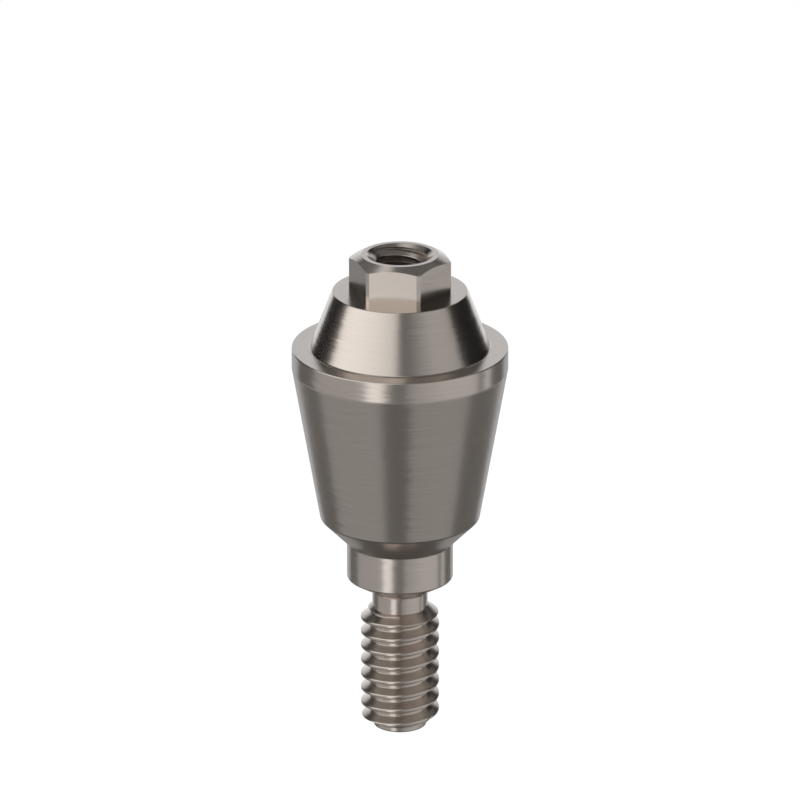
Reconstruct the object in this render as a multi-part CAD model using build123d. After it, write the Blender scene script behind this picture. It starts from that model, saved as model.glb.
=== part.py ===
from build123d import *
from build123d.topology import SkipClean
import math
import os

# Straight screw-retained dental abutment, turned from one titanium bar.
# Millimetres. The axis of the part is Z, the driver hexagon points up,
# and the origin lies on the axis in the plane of the restoration shoulder.

# Restoration side, above the shoulder
shoulder_diameter = 4.80
cone_base_diameter = 4.00
cone_top_diameter = 2.99
cone_height = 1.31
cone_foot_break = 0.03

# Driver hexagon on top of the cone
hex_across_flats = 2.01
hex_corner_diameter = 2.27
hex_height = 0.85
hex_ring_diameter = 1.71
hex_chamfer_angle = 27.0
hex_turn = -9.0

# Blind screw hole down the middle
screw_hole_diameter = 1.07
screw_hole_depth = 3.40
screw_thread_diameter = 1.40
screw_thread_pitch = 0.30
screw_thread_root_flat = 0.0375
screw_thread_length = 2.90
screw_thread_turn = 150.0
countersink_diameter = 1.49
countersink_angle = 100.0
drill_point_angle = 118.0

# Body between the shoulder and the implant
band_height = 0.48
taper_angle = 9.95
taper_foot_depth = 4.00
implant_bevel_angle = 45.3

# Collar that enters the implant, and the neck under it
collar_diameter = 2.37
collar_foot_depth = 5.445
underside_angle = 30.5
neck_diameter = 1.235
neck_foot_depth = 6.167

# Implant thread and its tip
thread_diameter = 1.76
thread_pitch = 0.34
thread_crest_flat = 0.06
thread_root_flat = 0.055
thread_chamfer_angle = 30.0
thread_foot_depth = 8.76
front_crest_depth = 8.05
tip_diameter = 1.20
total_depth = 9.03

# Both threads have flanks at this angle to the plane across the axis
flank_angle = 30.0

# Edge breaks, and how far a cutter and its stock reach past the surface
edge_break = 0.02
fine_edge_break = 0.012
tip_edge_break = 0.035
cutter_spare = 0.05
spare_turns = 3

# Planes through the axis that part the helical faces of each thread
implant_thread_planes = 4
screw_thread_planes = 2

# Azimuth of the front side
front = -90.0


def rise(run, angle):
    """Height gained along a run at an angle from the horizontal."""
    return run * math.tan(math.radians(angle))


def outline_face(corners):
    """Half-section in the XZ plane from (radius, height, edge break) corners."""
    section = make_face(Polyline([(x, 0, z) for x, z, _ in corners], close=True))
    for x, z, size in corners:
        if size:
            corner = section.vertices().sort_by_distance((x, 0, z))[0]
            section = chamfer([corner], length=size)
    return section


def rod(radius, bottom, top):
    """A plain round rod on the axis between two heights."""
    return Pos(0, 0, (bottom + top) / 2) * Cylinder(radius, top - bottom)


def parted(threaded, planes):
    """The same solid with its long helical faces parted by planes through the axis."""
    pieces = threaded
    for k in range(planes):
        angle = math.pi * k / planes
        cut = Plane(origin=(0, 0, 0), z_dir=(math.sin(angle), math.cos(angle), 0))
        pieces = split(pieces, bisect_by=cut, keep=Keep.BOTH)
    sectors = pieces.solids()
    return sectors[0] + sectors[1:]


def turned_head():
    """Cone, shoulder, band, tapered body, implant bevel, collar and neck."""
    shoulder_radius = shoulder_diameter / 2
    collar_radius = collar_diameter / 2
    neck_radius = neck_diameter / 2
    taper_foot_radius = shoulder_radius - (taper_foot_depth - band_height) * math.tan(math.radians(taper_angle))
    collar_top_depth = taper_foot_depth + rise(taper_foot_radius - collar_radius, implant_bevel_angle)
    neck_top_depth = collar_foot_depth + rise(collar_radius - neck_radius, underside_angle)
    corners = [
        (0, cone_height, 0),
        (cone_top_diameter / 2, cone_height, fine_edge_break),
        (cone_base_diameter / 2, 0, cone_foot_break),
        (shoulder_radius, 0, edge_break),
        (shoulder_radius, -band_height, fine_edge_break),
        (taper_foot_radius, -taper_foot_depth, edge_break),
        (collar_radius, -collar_top_depth, fine_edge_break),
        (collar_radius, -collar_foot_depth, edge_break),
        (neck_radius, -neck_top_depth, edge_break),
        (neck_radius, -neck_foot_depth, 0),
        (0, -neck_foot_depth, 0),
    ]
    return revolve(outline_face(corners), axis=Axis.Z)


def driver_hexagon():
    """Hexagon bar with its corners turned down and its top edge chamfered to a flat ring."""
    hexagon = Rot(0, 0, 30 + hex_turn) * RegularPolygon(hex_across_flats / 2, 6, major_radius=False)
    bar = Pos(0, 0, cone_height) * extrude(hexagon, amount=hex_height)
    corner_radius = hex_corner_diameter / 2
    ring_radius = hex_ring_diameter / 2
    top = cone_height + hex_height
    corners = [
        (0, cone_height, 0),
        (corner_radius, cone_height, 0),
        (corner_radius, top - rise(corner_radius - ring_radius, hex_chamfer_angle), 0),
        (ring_radius, top, 0),
        (0, top, 0),
    ]
    return bar & revolve(outline_face(corners), axis=Axis.Z)


def screw_pocket():
    """What is bored out of the body: room for the tapped wall, then the drilled end of the hole."""
    top = cone_height + hex_height
    hole_radius = screw_hole_diameter / 2
    wall_radius = hex_ring_diameter / 2
    corners = [
        (0, top, 0),
        (wall_radius, top, 0),
        (wall_radius, top - screw_thread_length, 0),
        (hole_radius, top - screw_thread_length, 0),
        (hole_radius, top - screw_hole_depth, 0),
        (0, top - screw_hole_depth - hole_radius / math.tan(math.radians(drill_point_angle / 2)), 0),
    ]
    return revolve(outline_face(corners), axis=Axis.Z)


def helical_bar(narrow_radius, narrow_width, wide_radius, pitch, bottom, top, turn):
    """Right-hand helix of a section that widens at the flank angle between two radii."""
    widening = abs(wide_radius - narrow_radius) * math.tan(math.radians(flank_angle))
    narrow = narrow_width / 2
    wide = narrow + widening
    section = make_face(
        Polyline(
            (narrow_radius, 0, -narrow),
            (wide_radius, 0, -wide),
            (wide_radius, 0, wide),
            (narrow_radius, 0, narrow),
            close=True,
        )
    )
    turns = math.ceil((top - bottom) / pitch)
    path = Helix(pitch=pitch, height=turns * pitch, radius=narrow_radius)
    return Pos(0, 0, bottom) * Rot(0, 0, turn) * sweep(section, path=path, is_frenet=True)


def tapped_wall_ring():
    """The wall round the screw hole, as wide as the flat ring on top, with its thread and countersink."""
    top = cone_height + hex_height
    bottom = top - screw_thread_length
    wall_radius = hex_ring_diameter / 2
    mouth_radius = countersink_diameter / 2
    tube_ends = (bottom - spare_turns * screw_thread_pitch, top + spare_turns * screw_thread_pitch)
    tube = rod(wall_radius, *tube_ends) - rod(screw_hole_diameter / 2, *tube_ends)
    groove = helical_bar(
        screw_thread_diameter / 2,
        screw_thread_root_flat,
        screw_hole_diameter / 2 - cutter_spare,
        screw_thread_pitch,
        bottom - screw_thread_pitch,
        top + screw_thread_pitch,
        screw_thread_turn,
    )
    corners = [
        (0, bottom, 0),
        (wall_radius, bottom, 0),
        (wall_radius, top, 0),
        (mouth_radius, top, 0),
        (0, top - mouth_radius / math.tan(math.radians(countersink_angle / 2)), 0),
    ]
    return (tube - groove) & revolve(outline_face(corners), axis=Axis.Z)


def implant_thread():
    """The implant thread, which runs out at both of its ends, and the tip."""
    neck_radius = neck_diameter / 2
    crest_radius = thread_diameter / 2
    tip_radius = tip_diameter / 2
    corners = [
        (0, -neck_foot_depth, 0),
        (neck_radius, -neck_foot_depth, 0),
        (crest_radius, -neck_foot_depth - rise(crest_radius - neck_radius, thread_chamfer_angle), 0),
        (crest_radius, -thread_foot_depth, 0),
        (tip_radius, -thread_foot_depth - rise(crest_radius - tip_radius, thread_chamfer_angle), 0),
        (tip_radius, -total_depth, tip_edge_break),
        (0, -total_depth, 0),
    ]
    blank = revolve(outline_face(corners), axis=Axis.Z)
    groove_depth = (thread_pitch - thread_crest_flat - thread_root_flat) / 2 / math.tan(math.radians(flank_angle))
    turns_below = math.ceil((total_depth - front_crest_depth) / thread_pitch)
    groove = helical_bar(
        crest_radius - groove_depth,
        thread_root_flat,
        crest_radius + cutter_spare,
        thread_pitch,
        -front_crest_depth - (turns_below + 1 / 2) * thread_pitch,
        -neck_foot_depth + thread_pitch,
        front,
    )
    stock = rod(crest_radius, -total_depth - spare_turns * thread_pitch, -neck_foot_depth + spare_turns * thread_pitch)
    return (stock - groove) & blank


def abutment():
    """The whole part as one solid. Its faces stay as cut, so that the sectors don't merge again."""
    stem = implant_thread()
    tapped_wall = tapped_wall_ring()
    with SkipClean():
        body = turned_head() + driver_hexagon() + parted(stem, implant_thread_planes)
        return body - screw_pocket() + parted(tapped_wall, screw_thread_planes)


os.makedirs("parts", exist_ok=True)
export_step(abutment(), "parts/abutment.step")
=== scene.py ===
import math

import bmesh
import bpy
from bpy.props import FloatProperty, FloatVectorProperty, IntProperty, PointerProperty
from mathutils import Matrix


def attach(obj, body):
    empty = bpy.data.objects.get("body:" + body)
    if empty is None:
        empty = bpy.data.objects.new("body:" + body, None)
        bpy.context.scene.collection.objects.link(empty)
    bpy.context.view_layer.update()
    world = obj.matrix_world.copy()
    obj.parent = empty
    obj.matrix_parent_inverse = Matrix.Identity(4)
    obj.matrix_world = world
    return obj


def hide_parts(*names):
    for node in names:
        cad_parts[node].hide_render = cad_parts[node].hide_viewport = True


bl_info = {
    "name": "Dental abutment",
    "version": (1, 0, 0),
    "blender": (4, 5, 0),
    "location": "View3D > Sidebar > Abutment",
    "description": "Turned titanium abutment with a driver hexagon, a tapped hole and an implant thread",
    "category": "Object",
}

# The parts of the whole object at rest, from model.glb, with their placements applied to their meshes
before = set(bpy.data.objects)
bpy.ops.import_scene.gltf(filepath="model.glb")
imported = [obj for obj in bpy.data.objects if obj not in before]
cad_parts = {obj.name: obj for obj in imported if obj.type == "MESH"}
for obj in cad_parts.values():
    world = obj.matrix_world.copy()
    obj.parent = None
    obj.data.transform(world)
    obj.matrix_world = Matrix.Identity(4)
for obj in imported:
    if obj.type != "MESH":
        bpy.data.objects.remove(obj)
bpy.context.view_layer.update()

# Shapes are made in millimetres and scaled to metres when a piece is finished
METRES = 0.001

# Vertices nearer to each other than this become one, in millimetres: on a turned shape, and where one
# turn of a helix meets the next
SAME_POINT = 1e-5
SAME_HELIX_POINT = 5e-4

# How far a piece or its stock reaches past a neighbour or a cut, in millimetres
SINK = 0.05
SPARE = 0.1

# The sockets of a colour mix node
MIX_FACTOR, MIX_FIRST, MIX_SECOND, MIX_RESULT = 0, 6, 7, 2


# Small tools

def linear(code):
    """An sRGB hex colour as linear RGBA."""
    levels = [int(code[i:i + 2], 16) / 255 for i in (1, 3, 5)]
    rgb = [c / 12.92 if c <= 0.04045 else ((c + 0.055) / 1.055) ** 2.4 for c in levels]
    return (*rgb, 1.0)


def node(tree, kind, settings=None, inputs=None, links=None):
    """Adds a node with its settings, the values of its inputs, and links from other sockets."""
    made = tree.nodes.new(kind)
    for name, value in (settings or {}).items():
        setattr(made, name, value)
    for name, value in (inputs or {}).items():
        made.inputs[name].default_value = value
    for name, socket in (links or {}).items():
        tree.links.new(socket, made.inputs[name])
    return made


def new_material(name):
    """An empty node material and its output node."""
    material = bpy.data.materials.new(name)
    material.use_nodes = True
    material.node_tree.nodes.clear()
    return material, material.node_tree.nodes.new("ShaderNodeOutputMaterial")


def vertices_of(made):
    """The vertices among what an operator made."""
    return [v for v in made["geom"] if isinstance(v, bmesh.types.BMVert)]


def wire(bm, points, closed):
    """A chain of edges through (radius, height) points in the XZ plane, and its vertices."""
    chain = [bm.verts.new((r, 0, z)) for r, z in points]
    for a, b in zip(chain, chain[1:]):
        bm.edges.new((a, b))
    if closed:
        bm.edges.new((chain[-1], chain[0]))
    return chain


def round_corners(bm, corners, segments=4):
    """Rounds the corners of a chain, given as (vertex, size)."""
    for vertex, size in corners:
        bmesh.ops.bevel(bm, geom=[vertex], offset=size, offset_type="OFFSET", segments=segments,
                        profile=0.5, affect="VERTICES", material=-1)


def turned(outline, steps):
    """A closed turned shape from a (radius, height, corner size) outline.

    The outline is a closed loop beside the axis, or a chain that starts and ends on the axis.
    """
    bm = bmesh.new()
    closed = outline[0][0] > 0
    chain = wire(bm, [(r, z) for r, z, _ in outline], closed)
    round_corners(bm, [(v, size) for v, (_, _, size) in zip(chain, outline) if size])
    bmesh.ops.spin(bm, geom=bm.verts[:] + bm.edges[:], cent=(0, 0, 0), axis=(0, 0, 1),
                   angle=math.tau, steps=steps, use_merge=True)
    bmesh.ops.remove_doubles(bm, verts=bm.verts[:], dist=SAME_POINT)
    bmesh.ops.recalc_face_normals(bm, faces=bm.faces[:])
    return bm


def as_object(bm, name):
    """Turns a bmesh into an object of the scene."""
    mesh = bpy.data.meshes.new(name)
    bm.to_mesh(mesh)
    bm.free()
    piece = bpy.data.objects.new(name, mesh)
    bpy.context.scene.collection.objects.link(piece)
    return piece


def combine(piece, tool, operation):
    """Joins, cuts or intersects a piece with a tool object, and removes the tool."""
    cut = piece.modifiers.new("cut", "BOOLEAN")
    cut.operation = operation
    cut.solver = "MANIFOLD"
    cut.object = tool
    apply_modifiers(piece)
    bpy.data.objects.remove(tool)
    return piece


def apply_modifiers(piece):
    """Replaces a piece's mesh by what its modifiers make of it."""
    bpy.context.view_layer.update()
    evaluated = piece.evaluated_get(bpy.context.evaluated_depsgraph_get())
    mesh = bpy.data.meshes.new_from_object(evaluated)
    piece.modifiers.clear()
    piece.data = mesh
    return piece


def finish_piece(piece, material, sharp_degrees=25):
    """Scales a piece to metres, shades it, and lets it stand for the abutment."""
    mesh = piece.data
    mesh.shade_smooth()
    mesh.set_sharp_from_angle(angle=math.radians(sharp_degrees))
    mesh.materials.clear()
    mesh.materials.append(material)
    even = piece.modifiers.new("even shading", "WEIGHTED_NORMAL")
    even.mode = "FACE_AREA"
    even.weight = 100
    even.keep_sharp = True
    # Faces whose areas differ by less than this count alike. They are small, in square millimetres
    even.thresh = 1e-5
    apply_modifiers(piece)
    piece.data.transform(Matrix.Scale(METRES, 4))
    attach(piece, "root")
    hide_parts("abutment")
    return piece


# Finishes

def bare_titanium(name, streaks):
    """Titanium alloy left bare: a warm grey satin metal, with fine streaks round the axis from the tool."""
    finish = bpy.context.scene.abutment_finish
    material, output = new_material(name)
    tree = material.node_tree
    place = node(tree, "ShaderNodeTexCoord")
    parts = node(tree, "ShaderNodeSeparateXYZ", links={"Vector": place.outputs["Object"]})
    # The streaks follow the profile, so they step with the height and with the distance from the axis
    across = node(tree, "ShaderNodeVectorMath", {"operation": "MULTIPLY"}, {1: (1, 1, 0)},
                  {0: place.outputs["Object"]})
    radius = node(tree, "ShaderNodeVectorMath", {"operation": "LENGTH"},
                  links={0: across.outputs["Vector"]})
    travel = node(tree, "ShaderNodeMath", {"operation": "SUBTRACT"},
                  links={0: parts.outputs["Z"], 1: radius.outputs["Value"]})
    along = node(tree, "ShaderNodeCombineXYZ",
                 links={"X": parts.outputs["X"], "Y": parts.outputs["Y"], "Z": travel.outputs["Value"]})
    # Real tool marks lie about 0.015 mm apart; these are twice as coarse, so that they show in the render
    scaled = node(tree, "ShaderNodeVectorMath", {"operation": "MULTIPLY"},
                  {1: (1 / finish.streak_length, 1 / finish.streak_length, 1 / finish.streak_spacing)},
                  {0: along.outputs["Vector"]})
    marks = node(tree, "ShaderNodeTexNoise", {"noise_dimensions": "3D"},
                 {"Scale": 1.0, "Detail": 2.0, "Roughness": 0.6}, {"Vector": scaled.outputs["Vector"]})
    # Each streak leans a little to one side, which frays the edges of what the metal mirrors
    lean = node(tree, "ShaderNodeMapRange", {"clamp": False},
                {"From Min": 0.0, "From Max": 1.0, "To Min": -streaks, "To Max": streaks},
                {"Value": marks.outputs["Fac"]})
    surface = node(tree, "ShaderNodeNewGeometry")
    tangent = node(tree, "ShaderNodeVectorMath", {"operation": "CROSS_PRODUCT"},
                   {0: (0, 0, 1)}, {1: surface.outputs["Normal"]})
    aside = node(tree, "ShaderNodeVectorMath", {"operation": "SCALE"},
                 links={0: tangent.outputs["Vector"], "Scale": lean.outputs["Result"]})
    leaned = node(tree, "ShaderNodeVectorMath", {"operation": "ADD"},
                  links={0: surface.outputs["Normal"], 1: aside.outputs["Vector"]})
    normal = node(tree, "ShaderNodeVectorMath", {"operation": "NORMALIZE"},
                  links={0: leaned.outputs["Vector"]})
    # The same streaks are a little lighter and darker
    shift = finish.streak_tint
    dark, light = ((*(c * level for c in finish.titanium_colour), 1.0) for level in (1 - shift, 1 + shift))
    tint = node(tree, "ShaderNodeMix", {"data_type": "RGBA"},
                {MIX_FIRST: dark, MIX_SECOND: light}, {MIX_FACTOR: marks.outputs["Fac"]})
    metal = node(tree, "ShaderNodeBsdfPrincipled",
                 inputs={"Metallic": 1.0, "Roughness": finish.titanium_roughness},
                 links={"Base Color": tint.outputs[MIX_RESULT], "Normal": normal.outputs["Vector"]})
    tree.links.new(metal.outputs["BSDF"], output.inputs["Surface"])
    return material


def turned_titanium():
    """The finish of the turned surfaces, made once."""
    finish = bpy.context.scene.abutment_finish
    return bpy.data.materials.get("turned_titanium") or bare_titanium("turned_titanium", finish.streak_lean)


def milled_titanium():
    """The finish of the hexagon and the threads, which fainter marks leave more mirror-like, made once."""
    finish = bpy.context.scene.abutment_finish
    lean = finish.streak_lean * finish.milled_share
    return bpy.data.materials.get("milled_titanium") or bare_titanium("milled_titanium", lean)


def lit_cloth(name, low, high=None, start=0.0, end=1.0, along="X", colour="#FFFFFF"):
    """Diffuser cloth that glows evenly, or from one level to another along an axis, in metres."""
    high = low if high is None else high
    material, output = new_material(name)
    tree = material.node_tree
    place = node(tree, "ShaderNodeTexCoord")
    split = node(tree, "ShaderNodeSeparateXYZ", links={"Vector": place.outputs["Object"]})
    level = node(tree, "ShaderNodeMapRange", {"clamp": True},
                 {"From Min": start, "From Max": end, "To Min": low, "To Max": high},
                 {"Value": split.outputs[along]})
    glow = node(tree, "ShaderNodeEmission", inputs={"Color": linear(colour)},
                links={"Strength": level.outputs["Result"]})
    tree.links.new(glow.outputs["Emission"], output.inputs["Surface"])
    return material


# Settings that a user would change

class AbutmentBody(bpy.types.PropertyGroup):
    """Sizes of the turned body"""
    shoulder_diameter: FloatProperty(
        name="Shoulder diameter", description="Diameter of the restoration shoulder",
        default=0.0048, unit="LENGTH", precision=5)
    cone_base_diameter: FloatProperty(
        name="Cone base diameter", description="Diameter of the cone at the shoulder",
        default=0.0040, unit="LENGTH", precision=5)
    cone_top_diameter: FloatProperty(
        name="Cone top diameter", description="Diameter of the cone at its top",
        default=0.00299, unit="LENGTH", precision=5)
    cone_height: FloatProperty(
        name="Cone height", description="Height of the cone above the shoulder",
        default=0.00131, unit="LENGTH", precision=5)
    band_height: FloatProperty(
        name="Band height", description="Height of the straight band under the shoulder",
        default=0.00048, unit="LENGTH", precision=5)
    taper_angle: FloatProperty(
        name="Taper angle", description="Angle of the tapered body to the axis",
        default=math.radians(9.95), subtype="ANGLE")
    taper_foot_depth: FloatProperty(
        name="Taper foot depth", description="Depth of the taper's foot below the shoulder",
        default=0.0040, unit="LENGTH", precision=5)
    bevel_angle: FloatProperty(
        name="Implant bevel angle", description="Angle of the implant bevel from the horizontal",
        default=math.radians(45.3), subtype="ANGLE")
    collar_diameter: FloatProperty(
        name="Collar diameter", description="Diameter of the collar",
        default=0.00237, unit="LENGTH", precision=5)
    collar_foot_depth: FloatProperty(
        name="Collar foot depth", description="Depth of the collar's foot",
        default=0.005445, unit="LENGTH", precision=5)
    underside_angle: FloatProperty(
        name="Underside angle", description="Angle of the collar's underside from the horizontal",
        default=math.radians(30.5), subtype="ANGLE")
    neck_diameter: FloatProperty(
        name="Neck diameter", description="Diameter of the neck above the thread",
        default=0.001235, unit="LENGTH", precision=6)
    neck_foot_depth: FloatProperty(
        name="Neck foot depth", description="Depth of the neck's foot",
        default=0.006167, unit="LENGTH", precision=6)
    edge_round: FloatProperty(
        name="Edge rounding", description="Rounding of the outer edges",
        default=0.00003, unit="LENGTH", precision=5)
    steps: IntProperty(
        name="Steps around", description="Number of steps around the axis",
        default=256, min=24)


class AbutmentHexagon(bpy.types.PropertyGroup):
    """Sizes of the driver hexagon"""
    across_flats: FloatProperty(
        name="Across flats", description="Width of the hexagon across its flats",
        default=0.00201, unit="LENGTH", precision=5)
    corner_diameter: FloatProperty(
        name="Corner diameter", description="Diameter that the corners are turned to",
        default=0.00227, unit="LENGTH", precision=5)
    height: FloatProperty(
        name="Height", description="Height of the hexagon above the cone",
        default=0.00085, unit="LENGTH", precision=5)
    ring_diameter: FloatProperty(
        name="Ring diameter", description="Outer diameter of the flat ring on top",
        default=0.00171, unit="LENGTH", precision=5)
    chamfer_angle: FloatProperty(
        name="Chamfer angle", description="Angle of the top chamfer from the horizontal",
        default=math.radians(27.0), subtype="ANGLE")
    turn: FloatProperty(
        name="Turn", description="Turn of the hexagon about the axis",
        default=math.radians(-9.0), subtype="ANGLE")
    edge_round: FloatProperty(
        name="Edge rounding", description="Rounding of the hexagon's edges",
        default=0.000012, unit="LENGTH", precision=5)


class AbutmentHole(bpy.types.PropertyGroup):
    """Sizes of the screw hole"""
    minor_diameter: FloatProperty(
        name="Minor diameter", description="Diameter of the hole between the thread's crests",
        default=0.00107, unit="LENGTH", precision=5)
    thread_diameter: FloatProperty(
        name="Thread diameter", description="Diameter of the thread's root in the wall",
        default=0.0014, unit="LENGTH", precision=5)
    pitch: FloatProperty(
        name="Pitch", description="Pitch of the screw thread",
        default=0.0003, unit="LENGTH", precision=5)
    thread_length: FloatProperty(
        name="Tapped length", description="Length of the tapped wall from the top",
        default=0.0029, unit="LENGTH", precision=5)
    depth: FloatProperty(
        name="Depth", description="Depth of the hole from the top",
        default=0.0034, unit="LENGTH", precision=5)
    mouth_diameter: FloatProperty(
        name="Countersink diameter", description="Diameter of the countersink at the top",
        default=0.00149, unit="LENGTH", precision=5)
    mouth_angle: FloatProperty(
        name="Countersink angle", description="Full angle of the countersink",
        default=math.radians(100.0), subtype="ANGLE")
    drill_angle: FloatProperty(
        name="Drill point angle", description="Full angle of the drilled end",
        default=math.radians(118.0), subtype="ANGLE")
    root_flat: FloatProperty(
        name="Root flat", description="Width of the flat in the thread's root",
        default=0.0000375, unit="LENGTH", precision=6)
    crest_round: FloatProperty(
        name="Crest rounding", description="Rounding of the crest's and the mouth's edges",
        default=0.000006, unit="LENGTH", precision=6)
    root_round: FloatProperty(
        name="Root rounding", description="Rounding in the thread's root",
        default=0.000004, unit="LENGTH", precision=6)
    turn: FloatProperty(
        name="Thread turn", description="Turn of the screw thread about the axis",
        default=math.radians(150.0), subtype="ANGLE")


class AbutmentThread(bpy.types.PropertyGroup):
    """Sizes of the implant thread"""
    crest_diameter: FloatProperty(
        name="Crest diameter", description="Outside diameter of the implant thread",
        default=0.00176, unit="LENGTH", precision=5)
    pitch: FloatProperty(
        name="Pitch", description="Pitch of the implant thread",
        default=0.00034, unit="LENGTH", precision=5)
    crest_flat: FloatProperty(
        name="Crest flat", description="Width of the flat on the thread's crest",
        default=0.00006, unit="LENGTH", precision=5)
    root_flat: FloatProperty(
        name="Root flat", description="Width of the flat in the thread's root",
        default=0.000055, unit="LENGTH", precision=5)
    flank_angle: FloatProperty(
        name="Flank angle", description="Angle of each flank to the plane across the axis",
        default=math.radians(30.0), subtype="ANGLE")
    chamfer_angle: FloatProperty(
        name="End chamfer angle", description="Angle of the end chamfers from the horizontal",
        default=math.radians(30.0), subtype="ANGLE")
    foot_depth: FloatProperty(
        name="Thread foot depth", description="Depth of the lower end of the full thread",
        default=0.00876, unit="LENGTH", precision=5)
    crest_depth: FloatProperty(
        name="Front crest depth", description="Depth of one crest's middle in front",
        default=0.00805, unit="LENGTH", precision=5)
    tip_diameter: FloatProperty(
        name="Tip diameter", description="Diameter of the plain tip",
        default=0.0012, unit="LENGTH", precision=5)
    total_depth: FloatProperty(
        name="Total depth", description="Depth of the lower end below the shoulder",
        default=0.00903, unit="LENGTH", precision=5)
    crest_round: FloatProperty(
        name="Crest rounding", description="Rounding of the crest's edges",
        default=0.000012, unit="LENGTH", precision=5)
    tip_round: FloatProperty(
        name="Tip rounding", description="Rounding of the tip's edge",
        default=0.000035, unit="LENGTH", precision=6)
    steps: IntProperty(
        name="Steps per turn", description="Number of steps in one turn of a thread",
        default=96, min=24)


class AbutmentFinish(bpy.types.PropertyGroup):
    """Look of the titanium"""
    titanium_colour: FloatVectorProperty(
        name="Titanium", description="Colour of the bare titanium",
        subtype="COLOR", size=3, min=0, max=1, default=linear("#D7CDC4")[:3])
    titanium_roughness: FloatProperty(
        name="Roughness", description="Roughness of the bare metal",
        default=0.24, min=0, max=1)
    streak_spacing: FloatProperty(
        name="Streak spacing", description="Distance between the streaks left by the tool",
        default=0.00003, unit="LENGTH", precision=6)
    streak_length: FloatProperty(
        name="Streak length", description="Length of a streak round the axis",
        default=0.0009, unit="LENGTH", precision=5)
    streak_lean: FloatProperty(
        name="Streak lean", description="How far a streak of the turned surface leans sideways",
        default=0.055, min=0, max=1)
    milled_share: FloatProperty(
        name="Milled share", description="Share of that lean on the hexagon and the threads",
        default=0.25, min=0, max=1, subtype="FACTOR")
    streak_tint: FloatProperty(
        name="Streak tint", description="How much lighter and darker the streaks are",
        default=0.08, min=0, max=1, subtype="FACTOR")


class AbutmentStage(bpy.types.PropertyGroup):
    """Sizes of the stage"""
    tent_radius: FloatProperty(
        name="Tent radius", description="Radius of the ring of cards round the object",
        default=0.5, unit="LENGTH")
    tent_floor: FloatProperty(
        name="Tent floor", description="Depth of the lowest cards below the object",
        default=0.25, unit="LENGTH")
    floor_depth: FloatProperty(
        name="Floor depth", description="Depth of the pale floor below the object",
        default=0.3, unit="LENGTH")
    focal_length: FloatProperty(
        name="Focal length", description="Focal length of the camera in millimetres",
        default=344.75)
    camera_distance: FloatProperty(
        name="Camera distance", description="Distance from the camera to its target",
        default=0.17, unit="LENGTH")
    camera_elevation: FloatProperty(
        name="Camera elevation", description="Elevation of the camera above its target",
        default=math.radians(20.444), subtype="ANGLE")
    target_depth: FloatProperty(
        name="Target depth", description="Depth of the camera's target below the shoulder",
        default=0.001272, unit="LENGTH", precision=6)


# Stage

def card(name, points, start, end, material):
    """A curved card through (radius, height) points, between two directions about the axis, in degrees.

    The front is at 0 degrees, where the camera stands, and the right-hand side at 90.
    """
    bm = bmesh.new()
    wire(bm, points, False)
    degrees_per_step = 3
    steps = max(2, round(abs(end - start) / degrees_per_step))
    to_start = Matrix.Rotation(math.radians(start - 90), 3, "Z")
    bmesh.ops.rotate(bm, cent=(0, 0, 0), matrix=to_start, verts=bm.verts[:])
    bmesh.ops.spin(bm, geom=bm.verts[:] + bm.edges[:], cent=(0, 0, 0), axis=(0, 0, 1),
                   angle=math.radians(end - start), steps=steps)
    bmesh.ops.remove_doubles(bm, verts=bm.verts[:], dist=1e-6)
    bmesh.ops.recalc_face_normals(bm, faces=bm.faces[:])
    piece = as_object(bm, name)
    piece.data.materials.append(material)
    piece.visible_camera = False
    piece.visible_diffuse = False
    piece.visible_shadow = False
    return piece


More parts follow.
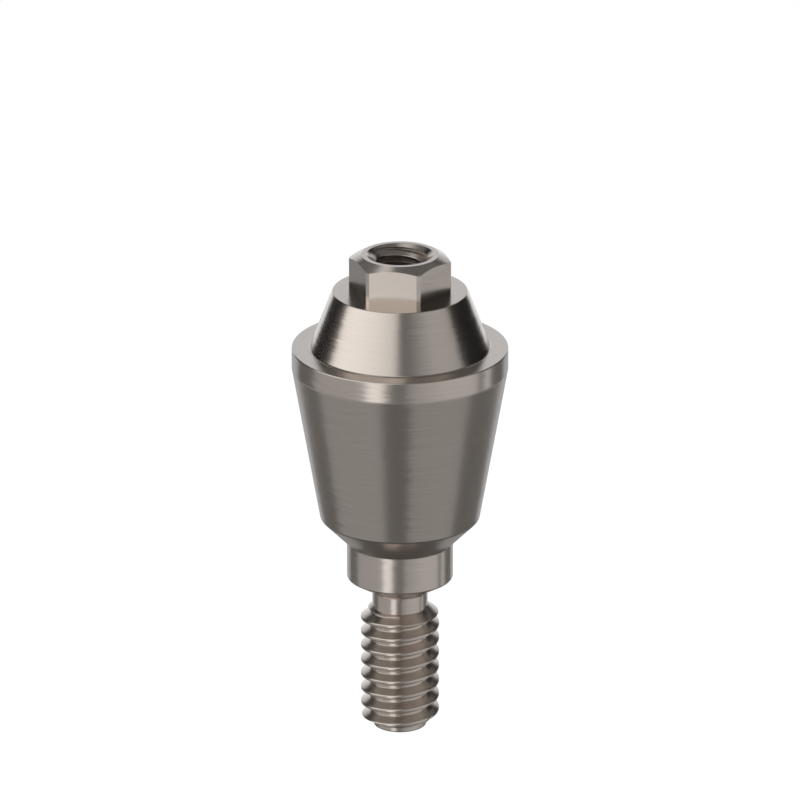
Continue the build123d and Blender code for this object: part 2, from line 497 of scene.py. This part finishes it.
class ABUTMENT_OT_stage(bpy.types.Operator):
    """Pale floor, white surround, a tent of dark, grey and lit cards, lamps and the camera"""
    bl_idname = "abutment.stage"
    bl_label = "Stage"

    def execute(self, context):
        stage = context.scene.abutment_stage
        self.add_camera(context, stage)
        self.add_world(context)
        self.add_floor(stage)
        self.add_cards(stage)
        self.add_lamps()
        context.scene.view_settings.view_transform = "Standard"
        return {"FINISHED"}

    def add_camera(self, context, stage):
        """A long lens that looks down on the object from the front."""
        data = bpy.data.cameras.new("camera")
        data.lens = stage.focal_length
        data.sensor_width = 36
        data.clip_start = 0.01
        camera = bpy.data.objects.new("camera", data)
        context.scene.collection.objects.link(camera)
        elevation = stage.camera_elevation
        camera.location = (0, -stage.camera_distance * math.cos(elevation),
                           stage.camera_distance * math.sin(elevation) - stage.target_depth)
        camera.rotation_euler = (math.pi / 2 - elevation, 0, 0)
        context.scene.camera = camera

    def add_world(self, context):
        """White where it is seen or mirrored, and softer where it lights."""
        world = bpy.data.worlds.new("surround")
        context.scene.world = world
        world.use_nodes = True
        tree = world.node_tree
        tree.nodes.clear()
        seen = self.seen_rays(tree)
        light = node(tree, "ShaderNodeBackground", inputs={"Color": linear("#FFFFFF"), "Strength": 0.6})
        white = node(tree, "ShaderNodeBackground", inputs={"Color": linear("#FFFFFF"), "Strength": 1.0})
        mix = node(tree, "ShaderNodeMixShader",
                   links={0: seen, 1: light.outputs["Background"], 2: white.outputs["Background"]})
        node(tree, "ShaderNodeOutputWorld", links={"Surface": mix.outputs["Shader"]})

    def seen_rays(self, tree):
        """One for the rays of the camera, of reflections and of clear materials."""
        path = node(tree, "ShaderNodeLightPath")
        direct = node(tree, "ShaderNodeMath", {"operation": "ADD"},
                      links={0: path.outputs["Is Camera Ray"], 1: path.outputs["Is Glossy Ray"]})
        total = node(tree, "ShaderNodeMath", {"operation": "ADD", "use_clamp": True},
                     links={0: direct.outputs["Value"], 1: path.outputs["Is Transmission Ray"]})
        return total.outputs["Value"]

    def add_floor(self, stage):
        """A wide pale floor that keeps a soft shadow."""
        bm = bmesh.new()
        bmesh.ops.create_circle(bm, cap_ends=True, segments=96, radius=3.0)
        bmesh.ops.translate(bm, verts=bm.verts[:], vec=(0, 0, -stage.floor_depth))
        floor = as_object(bm, "floor")
        material, output = new_material("white_paper")
        tree = material.node_tree
        # Where it is seen, a quarter of the paper's own shade is left, so that a soft shadow still shows
        share = node(tree, "ShaderNodeMath", {"operation": "MULTIPLY"},
                     {1: 0.75}, {0: self.seen_rays(tree)})
        paper = node(tree, "ShaderNodeBsdfDiffuse", inputs={"Color": linear("#F4F4F4")})
        white = node(tree, "ShaderNodeEmission", inputs={"Color": linear("#FFFFFF"), "Strength": 1.0})
        mix = node(tree, "ShaderNodeMixShader",
                   links={0: share.outputs["Value"], 1: paper.outputs["BSDF"],
                          2: white.outputs["Emission"]})
        tree.links.new(mix.outputs["Shader"], output.inputs["Surface"])
        floor.data.materials.append(material)

    def add_cards(self, stage):
        """Lit cloths on the left, the right and behind, with dark gaps between them, over grey paper.

        The metal mirrors these cards and itself. Their places and levels give the bright and dark bands
        round the part. Lengths are in metres, directions in degrees, and a level of 1 is white.
        """
        ring = stage.tent_radius
        outer = ring + 0.05
        wall = ring + 0.02
        inner = ring - 0.01
        floor = -stage.tent_floor
        horizon = -0.06
        back_foot = -0.14
        eaves = 0.4
        ceiling = 1.6

        # Behind all the others: dark round the sides, dim overhead
        card("dark_wall", [(outer, floor), (outer, eaves)], 0, 360, lit_cloth("black_cloth", 0.01))
        card("dim_ceiling", [(outer, eaves), (outer, ceiling), (0, ceiling)], 0, 360,
             lit_cloth("dim_cloth", 0.14))

        # Above the horizon
        card("left_panel", [(ring, horizon), (ring, 0.6)], -97, -3,
             lit_cloth("left_cloth", 1.21, 0.76, -ring, 0))
        card("left_top", [(ring, 0.6), (ring, 1.0), (0.22, 1.3)], -97, 8,
             lit_cloth("left_top_cloth", 0.55, 0.9, -ring, 0))
        card("right_panel", [(ring, horizon), (ring, 0.75)], -3, 86,
             lit_cloth("right_cloth", 0.10, 0.47, 0.05, 0.36))
        back = lit_cloth("back_cloth", 1.05, 0.73, 0.0, 0.15, "Z", "#F6FAFF")
        card("back_panel", [(ring, back_foot), (ring, 0.2)], 149, 214, back)
        card("back_top", [(ring, 0.2), (ring, 0.45)], 157, 204, back)
        card("overhead_strip", [(0.26, 0.8), (0.49, 0.8)], -162, -136, lit_cloth("overhead_cloth", 1.0))

        # Below the horizon
        shade = lit_cloth("grey_cloth", 0.13)
        card("low_wall", [(wall, floor), (wall, horizon)], 0, 360, shade)
        card("left_low", [(ring, floor), (ring, horizon)], -104, -12, lit_cloth("left_low_cloth", 0.41))
        card("left_strip", [(inner, -0.24), (inner, horizon)], -37, -17, lit_cloth("strip_cloth", 1.28))
        card("right_low", [(ring, floor), (ring, horizon)], 8, 92,
             lit_cloth("right_low_cloth", 0.40, 0.57, 0.1, 0.38))
        card("right_strip", [(inner, -0.22), (inner, horizon)], 101, 112, lit_cloth("edge_cloth", 0.75))
        card("back_low", [(ring, floor), (ring, back_foot)], 143, 221,
             lit_cloth("back_low_cloth", 0.55, 0.58, colour="#F6FAFF"))

        # The tent's floor: dark in the middle, grey paper to the left, the right and behind
        middle = 0.17
        card("floor_middle", [(0, floor), (middle, floor)], 0, 360, lit_cloth("dark_paper", 0.10))
        card("floor_shade", [(middle, floor - 0.01), (wall, floor - 0.01)], 0, 360, shade)
        paper = lit_cloth("grey_paper", 0.32)
        sides = (("floor_left", -104, -22), ("floor_right", 12, 87), ("floor_back", 150, 210))
        for name, first, last in sides:
            card(name, [(0.2, floor), (ring, floor)], first, last, paper)

    def add_lamps(self):
        """A soft lamp over the object and a weaker one in front, in metres and watts."""
        for name, place, size, power in (
            ("key_lamp", (-0.35, 0.2, 0.95), 0.35, 15.0),
            ("fill_lamp", (0.5, -0.6, 0.9), 0.5, 7.0),
        ):
            data = bpy.data.lights.new(name, "AREA")
            data.shape = "DISK"
            data.size = size
            data.energy = power
            lamp = bpy.data.objects.new(name, data)
            bpy.context.scene.collection.objects.link(lamp)
            lamp.location = place
            lamp.rotation_euler = (-lamp.location).to_track_quat("-Z", "Y").to_euler()
            lamp.visible_glossy = False


# The turned body

def wall_radius(context):
    """Outer radius of the tapped wall's own piece, in millimetres.

    It lies midway between the countersink and the edge of the flat ring.
    """
    mouth = context.scene.abutment_hole.mouth_diameter / 2
    ring = context.scene.abutment_hexagon.ring_diameter / 2
    return (mouth + ring) / 2 / METRES


class ABUTMENT_OT_turned_body(bpy.types.Operator):
    """Cone, shoulder, band, tapered body, implant bevel, collar and neck in one turned piece"""
    bl_idname = "abutment.turned_body"
    bl_label = "Turned body"

    def execute(self, context):
        body = context.scene.abutment_body
        hole = context.scene.abutment_hole
        hexagon = context.scene.abutment_hexagon
        mm = 1 / METRES
        shoulder = body.shoulder_diameter / 2 * mm
        collar = body.collar_diameter / 2 * mm
        neck = body.neck_diameter / 2 * mm
        cone_top = body.cone_height * mm
        band = body.band_height * mm
        taper_foot = body.taper_foot_depth * mm
        taper_radius = shoulder - (taper_foot - band) * math.tan(body.taper_angle)
        collar_top = taper_foot + (taper_radius - collar) * math.tan(body.bevel_angle)
        collar_foot = body.collar_foot_depth * mm
        neck_top = collar_foot + (collar - neck) * math.tan(body.underside_angle)
        neck_end = body.neck_foot_depth * mm + SPARE
        top = (body.cone_height + hexagon.height) * mm
        wall = wall_radius(context)
        hole_radius = hole.minor_diameter / 2 * mm
        tapped_foot = top - hole.thread_length * mm
        hole_foot = top - hole.depth * mm
        edge = body.edge_round * mm
        crisp_edge = edge * 0.8
        fine_edge = edge / 2
        outline = [
            (0, hole_foot - hole_radius / math.tan(hole.drill_angle / 2), 0),
            (hole_radius, hole_foot, 0),
            (hole_radius, tapped_foot, 0),
            (wall, tapped_foot, 0),
            (wall, cone_top, 0),
            (body.cone_top_diameter / 2 * mm, cone_top, fine_edge),
            (body.cone_base_diameter / 2 * mm, 0, edge),
            (shoulder, 0, crisp_edge),
            (shoulder, -band, edge),
            (taper_radius, -taper_foot, edge),
            (collar, -collar_top, fine_edge),
            (collar, -collar_foot, crisp_edge),
            (neck, -neck_top, crisp_edge),
            (neck, -neck_end, 0),
            (0, -neck_end, 0),
        ]
        piece = as_object(turned(outline, body.steps), "turned_body")
        finish_piece(piece, turned_titanium())
        return {"FINISHED"}


# The driver hexagon

class ABUTMENT_OT_driver_hexagon(bpy.types.Operator):
    """Hexagon with turned corners and a chamfered top"""
    bl_idname = "abutment.driver_hexagon"
    bl_label = "Driver hexagon"

    def execute(self, context):
        hexagon = context.scene.abutment_hexagon
        body = context.scene.abutment_body
        mm = 1 / METRES
        foot = body.cone_height * mm - SINK
        top = (body.cone_height + hexagon.height) * mm
        corner = hexagon.corner_diameter / 2 * mm
        ring = hexagon.ring_diameter / 2 * mm
        wall = wall_radius(context)
        bm = bmesh.new()
        half_side = math.pi / 6
        bmesh.ops.create_circle(bm, cap_ends=True, segments=6,
                                radius=hexagon.across_flats / 2 * mm / math.cos(half_side))
        bmesh.ops.rotate(bm, cent=(0, 0, 0), matrix=Matrix.Rotation(hexagon.turn + half_side, 3, "Z"),
                         verts=bm.verts[:])
        bmesh.ops.translate(bm, verts=bm.verts[:], vec=(0, 0, foot - SPARE))
        lifted = bmesh.ops.extrude_face_region(bm, geom=bm.faces[:])
        bmesh.ops.translate(bm, verts=vertices_of(lifted), vec=(0, 0, top - foot + 3 * SPARE))
        bmesh.ops.recalc_face_normals(bm, faces=bm.faces[:])
        bar = as_object(bm, "driver_hexagon")
        outline = [
            (wall, foot, 0),
            (corner, foot, 0),
            (corner, top - (corner - ring) * math.tan(hexagon.chamfer_angle), 0),
            (ring, top, 0),
            (wall, top, 0),
        ]
        envelope = as_object(turned(outline, body.steps), "hexagon_envelope")
        combine(bar, envelope, "INTERSECT")
        soften = bar.modifiers.new("soft edges", "BEVEL")
        soften.width = hexagon.edge_round * mm
        soften.segments = 3
        soften.limit_method = "ANGLE"
        # The flats meet the turned corners at 28 degrees, so the limit lies below that
        soften.angle_limit = math.radians(22)
        apply_modifiers(bar)
        finish_piece(bar, milled_titanium(), sharp_degrees=20)
        return {"FINISHED"}


# The screw hole

def helix_thread(points, roundings, pitch, turns, steps, bottom, turn):
    """A closed threaded rod or tap, from one pitch of its outline and (corner, size) roundings.

    One turn is spun and copied upwards, and both ends are closed well past the part.
    """
    bm = bmesh.new()
    chain = wire(bm, points, False)
    round_corners(bm, [(chain[i], size) for i, size in roundings], 3)
    bmesh.ops.translate(bm, verts=bm.verts[:], vec=(0, 0, bottom))
    bmesh.ops.rotate(bm, cent=(0, 0, 0), matrix=Matrix.Rotation(turn, 3, "Z"), verts=bm.verts[:])
    bmesh.ops.spin(bm, geom=bm.verts[:] + bm.edges[:], cent=(0, 0, 0), axis=(0, 0, 1),
                   dvec=(0, 0, pitch / steps), angle=math.tau, steps=steps)
    one_turn = bm.verts[:] + bm.edges[:] + bm.faces[:]
    for k in range(1, turns):
        copied = bmesh.ops.duplicate(bm, geom=one_turn)
        bmesh.ops.translate(bm, verts=vertices_of(copied), vec=(0, 0, k * pitch))
    bmesh.ops.remove_doubles(bm, verts=bm.verts[:], dist=SAME_HELIX_POINT)
    close_end(bm, bottom - 2 * pitch, low=True)
    close_end(bm, bottom + (turns + 2) * pitch, low=False)
    bmesh.ops.recalc_face_normals(bm, faces=bm.faces[:])
    return bm


def close_end(bm, height, low):
    """Closes the open end of a helical tube by a cone to a point on the axis."""
    middle = sum(v.co.z for v in bm.verts) / len(bm.verts)
    rim = [e for e in bm.edges if e.is_boundary and (e.verts[0].co.z < middle) == low]
    drawn = bmesh.ops.extrude_edge_only(bm, edges=rim)
    bmesh.ops.pointmerge(bm, verts=vertices_of(drawn), merge_co=(0, 0, height))


class ABUTMENT_OT_screw_hole(bpy.types.Operator):
    """Tapped wall of the screw hole with its countersink"""
    bl_idname = "abutment.screw_hole"
    bl_label = "Screw hole"

    def execute(self, context):
        hole = context.scene.abutment_hole
        hexagon = context.scene.abutment_hexagon
        body = context.scene.abutment_body
        thread = context.scene.abutment_thread
        mm = 1 / METRES
        top = (body.cone_height + hexagon.height) * mm
        bottom = top - hole.thread_length * mm
        wall = wall_radius(context)
        minor = hole.minor_diameter / 2 * mm
        major = hole.thread_diameter / 2 * mm
        mouth = hole.mouth_diameter / 2 * mm
        pitch = hole.pitch * mm
        root_flat = hole.root_flat * mm
        crest_flat = pitch - 2 * (major - minor) * math.tan(thread.flank_angle) - root_flat
        crest_round = hole.crest_round * mm
        root_round = hole.root_round * mm
        outline = [
            (0, bottom, 0),
            (wall, bottom, 0),
            (wall, top, 0),
            (mouth, top, crest_round),
            (0, top - mouth / math.tan(hole.mouth_angle / 2), 0),
        ]
        piece = as_object(turned(outline, body.steps), "screw_hole")
        points = [
            (minor, -crest_flat / 2),
            (minor, crest_flat / 2),
            (major, (pitch - root_flat) / 2),
            (major, (pitch + root_flat) / 2),
            (minor, pitch - crest_flat / 2),
        ]
        roundings = [(1, crest_round), (2, root_round), (3, root_round)]
        turns = math.ceil(hole.thread_length * mm / pitch) + 2
        tap = helix_thread(points, roundings, pitch, turns, thread.steps, bottom - pitch, hole.turn)
        combine(piece, as_object(tap, "tap"), "DIFFERENCE")
        finish_piece(piece, milled_titanium())
        return {"FINISHED"}


# The implant thread

class ABUTMENT_OT_implant_thread(bpy.types.Operator):
    """Right-hand implant thread that runs out at both ends, with its plain tip"""
    bl_idname = "abutment.implant_thread"
    bl_label = "Implant thread"

    def execute(self, context):
        thread = context.scene.abutment_thread
        body = context.scene.abutment_body
        mm = 1 / METRES
        crest = thread.crest_diameter / 2 * mm
        pitch = thread.pitch * mm
        crest_half = thread.crest_flat / 2 * mm
        root_half = thread.root_flat / 2 * mm
        root = crest - (pitch / 2 - crest_half - root_half) / math.tan(thread.flank_angle)
        crest_round = thread.crest_round * mm
        root_round = crest_round / 2
        neck = body.neck_diameter / 2 * mm
        neck_foot = body.neck_foot_depth * mm
        foot = thread.foot_depth * mm
        end = thread.total_depth * mm
        tip = thread.tip_diameter / 2 * mm
        slope = math.tan(thread.chamfer_angle)
        front = -math.pi / 2
        points = [
            (root, -pitch / 2),
            (root, -pitch / 2 + root_half),
            (crest, -crest_half),
            (crest, crest_half),
            (root, pitch / 2 - root_half),
            (root, pitch / 2),
        ]
        roundings = [(1, root_round), (2, crest_round), (3, crest_round), (4, root_round)]
        crest_depth = thread.crest_depth * mm
        turns_below = math.ceil((end - crest_depth) / pitch) + 1
        bottom = -crest_depth - turns_below * pitch
        turns = math.ceil((-neck_foot - bottom) / pitch) + 1
        rod = helix_thread(points, roundings, pitch, turns, thread.steps, bottom, front)
        piece = as_object(rod, "implant_thread")
        # The blank reaches past the crest, along the slopes of both end chamfers
        wide = crest + SINK
        outline = [
            (0, -neck_foot + neck * slope, 0),
            (wide, -neck_foot - (wide - neck) * slope, 0),
            (wide, -foot + (wide - crest) * slope, 0),
            (tip, -foot - (crest - tip) * slope, 0),
            (tip, -end, thread.tip_round * mm),
            (0, -end, 0),
        ]
        blank = as_object(turned(outline, body.steps), "thread_blank")
        combine(piece, blank, "INTERSECT")
        finish_piece(piece, milled_titanium())
        return {"FINISHED"}


# Panel and registration

class VIEW3D_PT_abutment(bpy.types.Panel):
    """Settings and pieces of the abutment"""
    bl_label = "Dental abutment"
    bl_space_type = "VIEW_3D"
    bl_region_type = "UI"
    bl_category = "Abutment"

    def draw(self, context):
        """Lists each group of settings with the button that makes its piece."""
        for title, group, _, operators in PARTS:
            box = self.layout.box()
            box.label(text=title)
            settings = getattr(context.scene, group)
            for name in settings.__annotations__:
                box.prop(settings, name)
            for operator in operators:
                box.operator(operator.bl_idname)


# The settings and the operators of each part: title, name on the scene, settings, operators
PARTS = [
    ("Stage", "abutment_stage", AbutmentStage, [ABUTMENT_OT_stage]),
    ("Finish", "abutment_finish", AbutmentFinish, []),
    ("Turned body", "abutment_body", AbutmentBody, [ABUTMENT_OT_turned_body]),
    ("Driver hexagon", "abutment_hexagon", AbutmentHexagon, [ABUTMENT_OT_driver_hexagon]),
    ("Screw hole", "abutment_hole", AbutmentHole, [ABUTMENT_OT_screw_hole]),
    ("Implant thread", "abutment_thread", AbutmentThread, [ABUTMENT_OT_implant_thread]),
]


def register():
    """Adds the settings, the operators and the panel."""
    for _, group, settings, operators in PARTS:
        bpy.utils.register_class(settings)
        setattr(bpy.types.Scene, group, PointerProperty(type=settings))
        for operator in operators:
            bpy.utils.register_class(operator)
    bpy.utils.register_class(VIEW3D_PT_abutment)


def unregister():
    """Takes them away again."""
    bpy.utils.unregister_class(VIEW3D_PT_abutment)
    for _, group, settings, operators in reversed(PARTS):
        for operator in operators:
            bpy.utils.unregister_class(operator)
        delattr(bpy.types.Scene, group)
        bpy.utils.unregister_class(settings)


def main():
    """Makes the stage and every piece in order."""
    register()
    bpy.ops.abutment.stage()
    bpy.ops.abutment.turned_body()
    bpy.ops.abutment.driver_hexagon()
    bpy.ops.abutment.screw_hole()
    bpy.ops.abutment.implant_thread()


if __name__ == "__main__":
    main()
